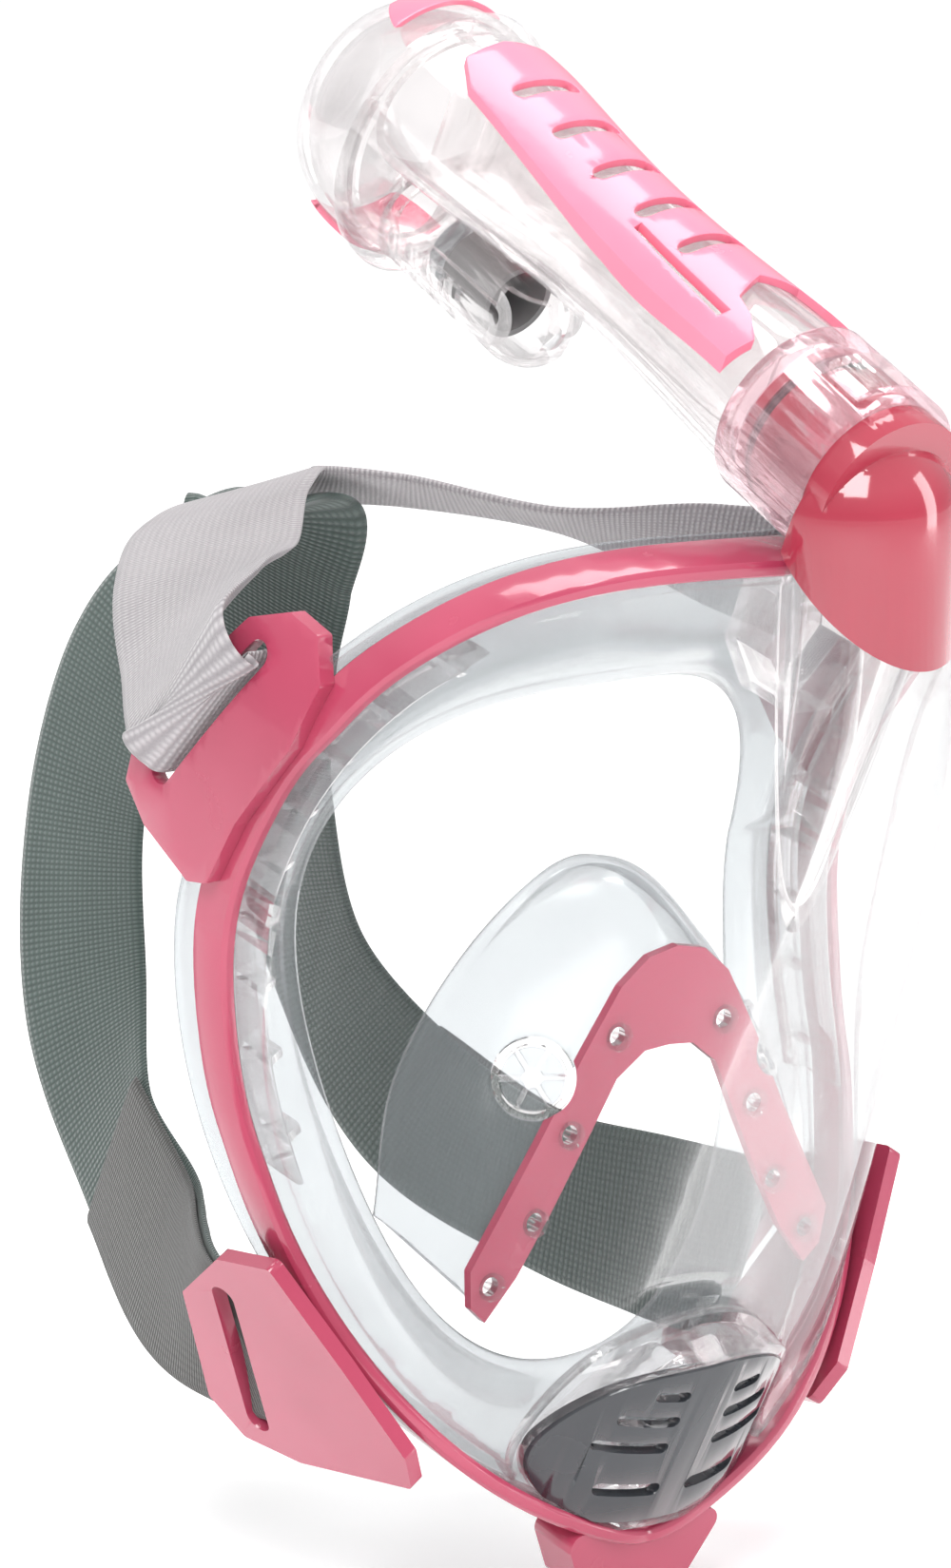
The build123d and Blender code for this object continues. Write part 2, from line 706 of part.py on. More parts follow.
def make_cap():
    cap = dome_of(0) - Pos(0, 0, -0.5) * dome_of(-CAP_WALL)
    return on_tube(cap)


def make_cap_trims():
    """Two coloured bands that lie on the cap, front and back."""
    base = TUBE_END + FLANGE_THICKNESS + SEAT_GAP
    skin = dome_of(1.2) - dome_of(SEAT_GAP)
    front = skin & (Pos(0, 30, base + 12.5) * Box(36, 34, 9))
    back = skin & (Pos(0, -48, base + 11) * Box(30, 26, 14))
    return on_tube(front), on_tube(back)


def make_chamber():
    """Ribbed basket on the head side of the tube that holds the float."""
    outer = Pos(0, -CHAMBER_DROP, 0) * rod(CHAMBER_RADIUS, CHAMBER_START, TUBE_END - SEAT_GAP)
    outer += Pos(0, -CHAMBER_DROP, CHAMBER_START) * Sphere(CHAMBER_RADIUS)
    inner = Pos(0, -CHAMBER_DROP, 0) * rod(CHAMBER_RADIUS - CHAMBER_WALL, CHAMBER_START, TUBE_END + 1)
    inner += Pos(0, -CHAMBER_DROP, CHAMBER_START) * Sphere(CHAMBER_RADIUS - CHAMBER_WALL)
    chamber = outer - inner
    for step in range(5):
        place = CHAMBER_START + 12 + 6.0 * step
        for side in (1, -1):
            cut = Pos(side * 11, -CHAMBER_DROP - 7, place) * Box(12, 14, 3.0)
            chamber -= cut
    for side in (1, -1):
        chamber -= Pos(side * 6.2, -CHAMBER_DROP - 1, CHAMBER_START - 8) * Box(7, 16, 16)
    return on_tube(chamber - tube_loft(SEAT_GAP * -1))


def make_float():
    start = CHAMBER_START + 4
    body = rod(FLOAT_RADIUS, start, start + FLOAT_LENGTH)
    body += rod(3.0, start + FLOAT_LENGTH, start + FLOAT_LENGTH + 4)
    body -= rod(FLOAT_RADIUS - 1.4, start - 1, start + FLOAT_LENGTH - 1.4)
    return on_tube(Pos(0, -CHAMBER_DROP, 0) * body)


def make_float_seal():
    start = CHAMBER_START + 4 + FLOAT_LENGTH + 4
    seal = rod(FLOAT_RADIUS - 0.8, start, start + 1.6)
    return on_tube(Pos(0, -CHAMBER_DROP, 0) * seal)


# ---------------------------------------------------------------- strap hooks and straps

HOOK_SLOT_WIDTH = 6.0
HOOK_SLOT_SPARE = 4.0
UPPER_HOOK_SLOT = (9.5, 38.0)


def side_outline(points, corner):
    """A hook's side view as a prism across X."""
    place = Plane(origin=(0, 0, 0), x_dir=(0, 1, 0), z_dir=(1, 0, 0))
    return place.location * flat_plate(points, 110, corner)


def make_upper_hook():
    outline = [(6, 60), (-4, 65), (-14, 64), (-20, 56), (-17, 41), (-6, 20), (-1, 5), (5, 3),
               (21, 8.5), (29, 15), (28.5, 25)]
    hook = side_outline(outline, 1.2)
    slot = SlotOverall(2 * STRAP_HALF_WIDTH + HOOK_SLOT_SPARE, HOOK_SLOT_WIDTH)
    slot = Pos(*UPPER_HOOK_SLOT) * Rot(0, 0, UPPER_SLOT_TURN) * slot
    place = Plane(origin=(0, 0, 0), x_dir=(0, 1, 0), z_dir=(1, 0, 0))
    hook -= place.location * extrude(slot, amount=120)
    return hook & (outline_prism(-HOOK_WALL) - outline_prism(-SEAT_GAP))


LOWER_HOOK_INSET = 4.0
LOWER_HOOK_DROP = 0.5553
LOWER_HOOK_SLOT = (18.5, 29.0)
LOWER_SLOT_TURN = 29
LOWER_HOOK_PLANE = Plane(origin=(HALF_WIDTH - LOWER_HOOK_INSET, -37.5, -LOWER_HOOK_DROP * CHIN_DEPTH),
                         x_dir=(-25.5, -19.5, -37.0), z_dir=(0.851, -0.17, -0.497))


def make_lower_hook(ring, lens):
    outline = [(-6, -4), (-8.5, 12.5), (0.5, 33.5), (29, 50.5), (40, 47.5), (46.5, 33), (52, -2),
               (44, -7), (20, -6)]
    hook = flat_plate(outline, HOOK_WALL, 1.5)
    slot = SlotOverall(2 * STRAP_HALF_WIDTH + HOOK_SLOT_SPARE, HOOK_SLOT_WIDTH)
    slot = Pos(*LOWER_HOOK_SLOT) * Rot(0, 0, LOWER_SLOT_TURN) * slot
    hook -= Pos(0, 0, -HOOK_WALL) * extrude(slot, amount=3 * HOOK_WALL)
    return largest(LOWER_HOOK_PLANE.location * hook - ring - lens)


def strap_band(path):
    """A band from (centre, width direction, half width), closed into a solid."""
    sections = []
    for index, (centre, width, half) in enumerate(path):
        before = Vector(*path[max(index - 1, 0)][0])
        after = Vector(*path[min(index + 1, len(path) - 1)][0])
        along = (after - before).normalized()
        across = Vector(*width).normalized()
        if index == 0:
            along = Vector(1, 0, 0)
            across = Vector(0, across.Y, across.Z).normalized()
        across = (across - along * across.dot(along)).normalized()
        face = along.cross(across).normalized() * (STRAP_WALL / 2)
        edge = across * half
        middle = Vector(*centre)
        sections.append(polygon([middle - edge - face, middle + edge - face,
                                 middle + edge + face, middle - edge + face]))
    return loft(sections, ruled=True)


SLOT_DIRECTION = (0, cos(radians(UPPER_SLOT_TURN)), sin(radians(UPPER_SLOT_TURN)))
HOOK_OUTSIDE = HALF_WIDTH + HOOK_WALL + 1.2
# centre of the band, then the direction across its width
UPPER_STRAP_PATH = (
    ((0, 102.0, 41.4), (0, -0.84, 0.53)), ((24, 87.2, 44.1), (-0.42, -0.76, 0.48)),
    ((48, 61.5, 45.0), (-0.5, -0.7, 0.42)), ((70, 37.0, 45.0), (-0.25, -0.6, 0.75)),
    ((HOOK_OUTSIDE, 17.0, 43.5), SLOT_DIRECTION), ((HOOK_OUTSIDE, 10.4, 38.5), SLOT_DIRECTION),
    ((HALF_WIDTH - 4.0, 9.5, 38.0), SLOT_DIRECTION))
LOWER_STRAP_PATH = (
    ((0, 99.6, 36.4), (0, -0.84, 0.54)), ((11, 108.8, 21.3), (0, -0.88, 0.48)),
    ((20, 114.0, -1.0), (0, -0.94, 0.35)), ((26, 111.6, -35.5), (0, -0.97, 0.24)),
    ((32, 94.5, -70.2), (-0.1, -0.79, 0.6)), ((40, 65.2, -93.1), (0.1, -0.45, 0.85)),
    ((51, 31.0, -100.0), (0.0, -0.3, 0.95)), ((61, 4.0, -98.0), (0.25, -0.2, 0.93)),
    ((66.8, -18.5, -93.8), (0.49, -0.09, 0.87)))


def make_strap(path):
    return both_sides(strap_band([(centre, width, STRAP_HALF_WIDTH) for centre, width in path]))


def main():
    os.makedirs("parts", exist_ok=True)
    parts = {}
    parts["frame_ring"] = make_ring()
    parts["lens"] = make_lens(parts["frame_ring"])
    parts["oronasal_pocket"] = make_pocket()
    for _, side in SIDES:
        parts["oronasal_pocket"] -= valve_plane(side).location * rod(VALVE_RADIUS + SEAT_GAP, -5, 5)
    plate = make_bridge_plate() - parts["oronasal_pocket"]
    for _, side in SIDES:
        plate -= valve_plane(side).location * rod(VALVE_RADIUS + MOVING_GAP, -4, 6)
    parts["bridge_plate"] = largest(plate)
    parts["bridge_studs"] = make_studs()
    channel = make_exhaust_channel() - parts["lens"]
    seat, flap, upper = make_valve_seat(), make_valve_flap(), make_upper_hook()
    lower = make_lower_hook(parts["frame_ring"], parts["lens"])
    for name, side in SIDES:
        parts[f"oronasal_valve_seat_{name}"] = valve_plane(side).location * seat
        parts[f"oronasal_valve_flap_{name}"] = valve_plane(side).location * flap
        for label, piece in (("exhaust_channel", channel), ("upper_strap_hook", upper),
                             ("lower_strap_hook", lower)):
            parts[f"{label}_{name}"] = piece if side > 0 else mirror(piece, about=Plane.YZ)
    skirt = make_skirt() - parts["frame_ring"] - parts["lens"]
    for name, _ in SIDES:
        skirt = skirt - parts[f"upper_strap_hook_{name}"] - parts[f"lower_strap_hook_{name}"]
        skirt -= parts[f"exhaust_channel_{name}"]
    parts["skirt"] = skirt - on_tube(rod(COLLAR_RADIUS + MOVING_GAP, -1, 80))
    parts["inlet_baffle"] = make_baffle()
    parts["elbow"] = make_elbow(parts["frame_ring"])
    parts["elbow_o_ring"] = make_o_ring()
    parts["intake_duct"] = make_duct(parts["frame_ring"], parts["lens"])
    parts["drain_cover"] = make_drain_cover()
    parts["drain_housing"] = make_drain_housing(parts["frame_ring"])
    parts["drain_seat"] = make_drain_seat()
    parts["drain_membrane"] = make_drain_membrane()
    parts["snorkel_tube"] = make_tube()
    parts["tube_collar"] = make_collar()
    parts["release_button"] = make_button()
    parts["tube_plate"] = make_tube_plate()
    parts["dry_top_flange"] = make_flange()
    parts["dry_top_cap"] = make_cap()
    parts["cap_trim_front"], parts["cap_trim_back"] = make_cap_trims()
    parts["float_chamber"] = make_chamber()
    parts["float"] = make_float()
    parts["float_seal"] = make_float_seal()
    lower_strap = make_strap(LOWER_STRAP_PATH)
    for name, _ in SIDES:
        lower_strap = largest(lower_strap - parts[f"lower_strap_hook_{name}"])
    parts["lower_strap"] = lower_strap
    parts["upper_strap"] = make_strap(UPPER_STRAP_PATH)
    for name, shape in parts.items():
        export_step(Rot(HEAD_TILT, 0, 0) * shape, f"parts/{name}.step")


main()
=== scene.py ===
import math

import bmesh
import bpy
import numpy as np
from mathutils import Matrix, Vector


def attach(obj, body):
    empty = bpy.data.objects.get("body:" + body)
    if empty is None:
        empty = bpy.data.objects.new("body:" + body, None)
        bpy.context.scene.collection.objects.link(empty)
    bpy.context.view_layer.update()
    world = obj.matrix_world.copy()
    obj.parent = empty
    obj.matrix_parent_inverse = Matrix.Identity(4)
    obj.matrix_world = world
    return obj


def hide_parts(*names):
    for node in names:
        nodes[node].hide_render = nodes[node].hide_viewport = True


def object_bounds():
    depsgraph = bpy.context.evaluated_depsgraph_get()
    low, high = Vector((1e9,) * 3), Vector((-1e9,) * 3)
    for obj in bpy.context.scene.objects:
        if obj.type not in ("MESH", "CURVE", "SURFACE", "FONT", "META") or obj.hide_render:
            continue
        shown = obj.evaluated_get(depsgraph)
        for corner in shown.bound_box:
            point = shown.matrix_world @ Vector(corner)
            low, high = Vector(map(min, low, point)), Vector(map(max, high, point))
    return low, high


# Full face snorkel mask: looks.  Lengths below are in millimetres in the mask's own
# upright frame; row() tips them forward into the shared frame and turns them to metres.

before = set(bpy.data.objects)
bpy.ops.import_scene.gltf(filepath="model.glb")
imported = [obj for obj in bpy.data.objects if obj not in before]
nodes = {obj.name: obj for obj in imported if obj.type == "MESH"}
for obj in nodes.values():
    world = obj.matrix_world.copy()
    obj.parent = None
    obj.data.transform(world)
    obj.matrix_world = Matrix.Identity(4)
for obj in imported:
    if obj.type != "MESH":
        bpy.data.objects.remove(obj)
cad_low, cad_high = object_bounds()

HEAD_TILT = math.radians(15.7)
HALF_WIDTH, TOP_HEIGHT, CHIN_DEPTH, WIDEST_Z = 84.0, 99.0, 123.0, -2.0
RING_DEPTH, RING_WIDTH = 80.0, 11.0
MM = 0.001

# Share of a wall's length that its end bead takes, and how its very tip rounds off.
BEAD_REACH = 0.05
TIP_START, TIP_SLOPE = 0.35, 22


def row(point):
    x, y, z = point
    c, s = math.cos(HEAD_TILT), math.sin(HEAD_TILT)
    return Vector((x, y * c - z * s, y * s + z * c)) * MM


# ---------------------------------------------------------------- mesh helpers

def smooth_path(keys, steps):
    """Catmull-Rom points through the keys, each key a tuple of numbers."""
    count = len(keys)
    ends = [tuple(2 * a - b for a, b in zip(keys[0], keys[1]))]
    far = [tuple(2 * a - b for a, b in zip(keys[-1], keys[-2]))]
    padded = ends + list(keys) + far
    points = []
    for step in range(steps + 1):
        place = step / steps * (count - 1)
        index = min(int(place), count - 2)
        t = place - index
        p0, p1, p2, p3 = padded[index:index + 4]
        points.append(tuple(
            0.5 * (2 * b + (c - a) * t + (2 * a - 5 * b + 4 * c - d) * t * t
                   + (3 * b - a - 3 * c + d) * t ** 3)
            for a, b, c, d in zip(p0, p1, p2, p3)))
    return points


def grid_piece(name, rows, close_rows, material, uv_rows=None):
    """A closed skin through rows of points; each row is a loop, and the ends are capped."""
    wide, tall = len(rows[0]), len(rows)
    vertices = [row(point) for line in rows for point in line]
    faces = []
    for r in range(tall if close_rows else tall - 1):
        for c in range(wide):
            a, b = r * wide + c, r * wide + (c + 1) % wide
            d, e = (r + 1) % tall * wide + c, (r + 1) % tall * wide + (c + 1) % wide
            faces.append((a, b, e, d))
    if not close_rows:
        faces.append(tuple(reversed(range(wide))))
        faces.append(tuple(range((tall - 1) * wide, tall * wide)))
    mesh = bpy.data.meshes.new(name)
    mesh.from_pydata(vertices, [], faces)
    if uv_rows:
        layer = mesh.uv_layers.new(name="cloth")
        for polygon in mesh.polygons:
            for loop in polygon.loop_indices:
                index = mesh.loops[loop].vertex_index
                layer.data[loop].uv = uv_rows[index // wide][index % wide]
    piece = bpy.data.objects.new(name, mesh)
    bpy.context.scene.collection.objects.link(piece)
    mesh.materials.append(material)
    mesh.shade_smooth()
    recalculate(mesh)
    return piece


def recalculate(mesh):
    work = bmesh.new()
    work.from_mesh(mesh)
    bmesh.ops.recalc_face_normals(work, faces=work.faces)
    work.to_mesh(mesh)
    work.free()


def wall_loop(line, thickness, bead_start, bead_end):
    """Closed loop of (radius, y) round a wall's middle line, with rounded beads on its ends."""
    count = len(line)
    one, other = [], []
    for index, (radius, y) in enumerate(line):
        before, after = line[max(index - 1, 0)], line[min(index + 1, count - 1)]
        dr, dy = after[0] - before[0], after[1] - before[1]
        length = math.hypot(dr, dy)
        share = index / (count - 1)
        half = thickness / 2
        half += bead_start * math.exp(-(share / BEAD_REACH) ** 2)
        half += bead_end * math.exp(-((1 - share) / BEAD_REACH) ** 2)
        half *= min(1.0, TIP_START + TIP_SLOPE * min(share, 1 - share))
        one.append((radius - dy / length * half, y + dr / length * half))
        other.append((radius + dy / length * half, y - dr / length * half))
    return one + other[::-1]


# ---------------------------------------------------------------- materials

def node_material(name):
    material = bpy.data.materials.new(name)
    material.use_nodes = True
    tree = material.node_tree
    shader = tree.nodes["Principled BSDF"]
    return material, tree, shader


def noise_texture(tree, scale, detail=3.0, vector=None):
    texture = tree.nodes.new("ShaderNodeTexNoise")
    texture.inputs["Scale"].default_value = scale
    texture.inputs["Detail"].default_value = detail
    if vector is None:
        vector = tree.nodes.new("ShaderNodeTexCoord").outputs["Object"]
    tree.links.new(vector, texture.inputs["Vector"])
    return texture.outputs["Fac"]


def ramp(tree, value, stops):
    """Value to colour through (place, colour) stops."""
    node = tree.nodes.new("ShaderNodeValToRGB")
    while len(node.color_ramp.elements) < len(stops):
        node.color_ramp.elements.new(0.5)
    for element, (place, colour) in zip(node.color_ramp.elements, stops):
        element.position = place
        element.color = (*colour, 1.0)
    tree.links.new(value, node.inputs["Fac"])
    return node.outputs["Color"]


def spread(tree, value, low, high, start=0.3, end=0.7):
    node = tree.nodes.new("ShaderNodeMapRange")
    node.inputs["From Min"].default_value = start
    node.inputs["From Max"].default_value = end
    node.inputs["To Min"].default_value = low
    node.inputs["To Max"].default_value = high
    tree.links.new(value, node.inputs["Value"])
    return node.outputs["Result"]


def bump(tree, shader, height, strength, distance):
    node = tree.nodes.new("ShaderNodeBump")
    node.inputs["Strength"].default_value = strength
    node.inputs["Distance"].default_value = distance
    tree.links.new(height, node.inputs["Height"])
    tree.links.new(node.outputs["Normal"], shader.inputs["Normal"])


def srgb(code):
    values = [int(code[i:i + 2], 16) / 255 for i in (0, 2, 4)]
    return tuple(v / 12.92 if v <= 0.04045 else ((v + 0.055) / 1.055) ** 2.4 for v in values)


def scuffs(tree, level):
    """Worn patches: 1 on the faint scuffs, 0 elsewhere."""
    coarse = noise_texture(tree, 60.0, 8.0)
    return spread(tree, coarse, 0.0, 1.0, level, level + 0.08)


def moulded(name, dark, light, rough, coat):
    """Glossy moulded plastic: slight colour drift, fine orange peel and scuffed patches."""
    material, tree, shader = node_material(name)
    drift = noise_texture(tree, 14.0)
    colour = ramp(tree, drift, [(0.35, srgb(dark)), (0.65, srgb(light))])
    tree.links.new(colour, shader.inputs["Base Color"])
    wear = scuffs(tree, 0.62)
    worn_rough = spread(tree, wear, rough, rough + 0.16, 0.0, 1.0)
    tree.links.new(worn_rough, shader.inputs["Roughness"])
    shader.inputs["Coat Weight"].default_value = coat
    shader.inputs["Coat Roughness"].default_value = 0.06
    shader.inputs["IOR"].default_value = 1.49
    bump(tree, shader, noise_texture(tree, 900.0, 2.0), 0.05, 0.0002)
    return material


def clear(name, film, edge, tint, body, rough, shine):
    """Clear moulding: light passes straight through, the body colour gathers at grazing
    angles and on the walls' edges, and a sharp gloss lies over both.  film and edge are
    the body's share seen face on and edge on; shine scales the gloss."""
    material, tree, shader = node_material(name)
    shader.inputs["Base Color"].default_value = (*srgb(body), 1)
    cloud = noise_texture(tree, 35.0)
    tree.links.new(spread(tree, cloud, rough, rough + 0.05), shader.inputs["Roughness"])
    bump(tree, shader, noise_texture(tree, 120.0, 1.0), 0.04, 0.0004)
    through = tree.nodes.new("ShaderNodeBsdfTransparent")
    through.inputs["Color"].default_value = (*srgb(tint), 1)
    facing = tree.nodes.new("ShaderNodeLayerWeight")
    facing.inputs["Blend"].default_value = 0.5
    steep = maths(tree, "POWER", facing.outputs["Facing"], 3.0)
    patch = maths(tree, "ADD", 0.75, maths(tree, "MULTIPLY", cloud, 0.5))
    amount = maths(tree, "MULTIPLY", spread(tree, steep, film, edge, 0.0, 1.0), patch)
    inner = tree.nodes.new("ShaderNodeMixShader")
    tree.links.new(amount, inner.inputs["Fac"])
    tree.links.new(through.outputs["BSDF"], inner.inputs[1])
    tree.links.new(shader.outputs["BSDF"], inner.inputs[2])
    gloss = tree.nodes.new("ShaderNodeBsdfAnisotropic")
    gloss.inputs["Color"].default_value = (1, 1, 1, 1)
    gloss.inputs["Roughness"].default_value = rough
    fresnel = tree.nodes.new("ShaderNodeFresnel")
    fresnel.inputs["IOR"].default_value = 1.33
    outer = tree.nodes.new("ShaderNodeMixShader")
    glint = maths(tree, "MULTIPLY", fresnel.outputs["Fac"], shine)
    tree.links.new(glint, outer.inputs["Fac"])
    tree.links.new(inner.outputs["Shader"], outer.inputs[1])
    tree.links.new(gloss.outputs["BSDF"], outer.inputs[2])
    output = tree.nodes["Material Output"]
    tree.links.new(outer.outputs["Shader"], output.inputs["Surface"])
    return material


def wave(tree, vector, pitch, direction):
    texture = tree.nodes.new("ShaderNodeTexWave")
    texture.bands_direction = direction
    texture.inputs["Scale"].default_value = math.pi / (10 * pitch)
    texture.inputs["Distortion"].default_value = 0.35
    texture.inputs["Detail"].default_value = 1.0
    tree.links.new(vector, texture.inputs["Vector"])
    return texture.outputs["Fac"]


def maths(tree, operation, one, other):
    node = tree.nodes.new("ShaderNodeMath")
    node.operation = operation
    for socket, value in zip(node.inputs, (one, other)):
        if isinstance(value, (int, float)):
            socket.default_value = value
        else:
            tree.links.new(value, socket)
    return node.outputs["Value"]


def woven(name, dark, light, rib, cord):
    """Elastic webbing: ribs across the band, cords along it, and loose fibres.  rib and
    cord are their pitches in metres."""
    material, tree, shader = node_material(name)
    uv = tree.nodes.new("ShaderNodeUVMap")
    uv.uv_map = "cloth"
    ribs = wave(tree, uv.outputs["UV"], rib, "Y")
    cords = wave(tree, uv.outputs["UV"], cord, "X")
    relief = maths(tree, "ADD", maths(tree, "MULTIPLY", cords, 0.6), 0.4)
    threads = maths(tree, "MULTIPLY", ribs, relief)
    fibres = noise_texture(tree, 1600.0, 2.0)
    patches = noise_texture(tree, 30.0, 4.0)
    # Painted shade: the colour darkens in the grooves between ribs and cords, following the
    # relief. The fibres and patches add the webbing's own uneven tone.
    shade = maths(tree, "ADD", maths(tree, "MULTIPLY", threads, 0.55),
                  maths(tree, "ADD", maths(tree, "MULTIPLY", fibres, 0.3),
                        maths(tree, "MULTIPLY", patches, 0.35)))
    colour = ramp(tree, shade, [(0.15, srgb(dark)), (0.85, srgb(light))])
    tree.links.new(colour, shader.inputs["Base Color"])
    tree.links.new(spread(tree, fibres, 0.78, 0.95), shader.inputs["Roughness"])
    shader.inputs["Sheen Weight"].default_value = 0.25
    shader.inputs["Specular IOR Level"].default_value = 0.2
    height = maths(tree, "ADD", threads, maths(tree, "MULTIPLY", fibres, 0.3))
    bump(tree, shader, height, 0.8, 0.0004)
    return material


FRAME_PINK = moulded("frame_pink", "a43953", "b2445f", 0.18, 0.5)
HOOD_PINK = moulded("hood_pink", "97283a", "a43144", 0.10, 0.8)
PLATE_PINK = moulded("plate_pink", "ea7690", "f2849d", 0.24, 0.3)
COVER_GREY = moulded("cover_grey", "2b2d31", "393c41", 0.14, 0.6)
FLOAT_GREY = moulded("float_grey", "777777", "8a8a8a", 0.55, 0.0)
BLACK_RUBBER = moulded("black_rubber", "0d0d0d", "1b1b1b", 0.45, 0.1)
CLEAR_LENS = clear("clear_lens", 0.005, 0.42, "fdfdfd", "b4b8ba", 0.03, 0.34)
CLEAR_PLASTIC = clear("clear_plastic", 0.012, 0.50, "fdfcfc", "c4c0c2", 0.05, 0.5)
CLEAR_PINKISH = clear("clear_pinkish", 0.03, 0.45, "fdf0f3", "eeb4c3", 0.05, 0.6)
SILICONE = clear("silicone", 0.17, 0.66, "eceeef", "a4aaad", 0.18, 0.40)
DARK_WEBBING = woven("dark_webbing", "333e3b", "5b6763", 0.0011, 0.0016)
LIGHT_WEBBING = woven("light_webbing", "7f7b7e", "b5b1b3", 0.0011, 0.0016)
END_WEBBING = woven("end_webbing", "3b3b3a", "5d5d5b", 0.0009, 0.0016)
THREAD = moulded("thread", "8f9693", "abb2ae", 0.8, 0.0)

PAINT = {
    "frame_ring": FRAME_PINK, "bridge_plate": FRAME_PINK,
    "upper_strap_hook_left": FRAME_PINK, "upper_strap_hook_right": FRAME_PINK,
    "lower_strap_hook_left": FRAME_PINK, "lower_strap_hook_right": FRAME_PINK,
    "elbow": HOOD_PINK, "elbow_o_ring": BLACK_RUBBER, "tube_plate": PLATE_PINK,
    "cap_trim_front": PLATE_PINK, "cap_trim_back": PLATE_PINK,
    "drain_cover": COVER_GREY, "float": FLOAT_GREY, "lens": CLEAR_LENS,
    "tube_collar": CLEAR_PINKISH, "float_seal": SILICONE, "drain_membrane": SILICONE,
    "oronasal_valve_flap_left": SILICONE, "oronasal_valve_flap_right": SILICONE,
}
WELD_DISTANCE = 0.02 * MM
SHARP_EDGE = math.radians(38)

# Width of the rounded edge on each node that has one.
BEVELLED = {
    "frame_ring": 0.7, "bridge_plate": 0.5, "elbow": 0.8, "tube_plate": 0.5, "drain_cover": 0.5,
    "upper_strap_hook_left": 0.8, "upper_strap_hook_right": 0.8,
    "lower_strap_hook_left": 0.8, "lower_strap_hook_right": 0.8,
    "tube_collar": 0.4, "dry_top_flange": 0.5, "dry_top_cap": 0.4, "float_chamber": 0.3,
    "drain_housing": 0.3, "inlet_baffle": 0.3, "cap_trim_front": 0.3, "cap_trim_back": 0.3,
}


def finish_node(name, node):
    node.data.materials.clear()
    node.data.materials.append(PAINT.get(name, CLEAR_PLASTIC))
    for polygon in node.data.polygons:
        polygon.material_index = 0
    weld = node.modifiers.new("weld", "WELD")
    weld.merge_threshold = WELD_DISTANCE
    if name in BEVELLED:
        edge = node.modifiers.new("edge", "BEVEL")
        edge.width = BEVELLED[name] * MM
        edge.segments = 2
        edge.limit_method = "ANGLE"
        edge.angle_limit = SHARP_EDGE
        edge.harden_normals = True


for node_name, cad_node in nodes.items():
    finish_node(node_name, cad_node)


# ---------------------------------------------------------------- skirt

# Outline of the face frame: the curve's powers across and along, above and below WIDEST_Z.
UPPER_POWERS, LOWER_POWERS = (3.5, 3.5), (1.3, 3.4)
# The outline is found by halving the reach between nothing and FARTHEST_OUTLINE.
FARTHEST_OUTLINE, OUTLINE_HALVINGS = 200.0, 40
# The ring's front falls back from FOREMOST_Z by FRONT_FALL over each of the two spans.
FOREMOST_Z, FRONT_FALL, SPAN_ABOVE, SPAN_BELOW = 10.0, 14.0, 88.0, 139.0
# The face opening, and how far its edge comes forward at the top and at the chin.
OPENING_HALF_WIDTH, OPENING_ABOVE, OPENING_BELOW, OPENING_POWER = 58.0, 47.0, 96.0, 2.2
OPENING_Y, FORWARD_ABOVE, FORWARD_BELOW = 3.0, 18.0, 41.0
# Skirt: its wall, the beads on its two edges, and where its flange lies behind the ring.
SKIRT_WALL, FLANGE_BEAD, LIP_BEAD = 1.7, 0.45, 0.7
FLANGE_GAP, FLANGE_GAP_TOP, FLANGE_PROUD, FLANGE_END, FLANGE_TURN = 2.9, 1.5, 2.4, 0.6, 3.5
LIP_OUT, LIP_BACK = 0.9, 0.2
BULGE_ABOVE, BULGE_BELOW = 4.0, 2.0
NEAR_FLANGE, NEAR_LIP, NEAR_BULGE = 0.72, 0.35, 0.35
SKIRT_STEPS, SKIRT_WALL_STEPS = 224, 26


def outline_radius(angle):
    across, upward = abs(math.sin(angle)), math.cos(angle)
    low, high = 0.0, FARTHEST_OUTLINE
    for _ in range(OUTLINE_HALVINGS):
        middle = (low + high) / 2
        x = middle * across / HALF_WIDTH
        if upward > 0:
            reach = x ** UPPER_POWERS[0] + (middle * upward / TOP_HEIGHT) ** UPPER_POWERS[1]
        else:
            reach = x ** LOWER_POWERS[0] + (-middle * upward / CHIN_DEPTH) ** LOWER_POWERS[1]
        low, high = (middle, high) if reach < 1 else (low, middle)
    return low


def ring_y(angle):
    radius = outline_radius(angle)
    x, z = radius * math.sin(angle), WIDEST_Z + radius * math.cos(angle)
    span = SPAN_ABOVE if z > FOREMOST_Z else SPAN_BELOW
    depth = RING_DEPTH - FRONT_FALL * ((z - FOREMOST_Z) / span) ** 2
    return -depth * max(0.0, 1 - (x / HALF_WIDTH) ** 2) ** 0.5


def opening_edge(angle):
    upper = math.cos(angle) > 0
    half_height = OPENING_ABOVE if upper else OPENING_BELOW
    reach = (abs(math.sin(angle)) / OPENING_HALF_WIDTH) ** OPENING_POWER
    reach += (abs(math.cos(angle)) / half_height) ** OPENING_POWER
    forward = FORWARD_ABOVE if upper else FORWARD_BELOW
    return reach ** (-1 / OPENING_POWER), OPENING_Y - forward * math.cos(angle) ** 2


def between(one, other, share):
    return one * share + other * (1 - share)


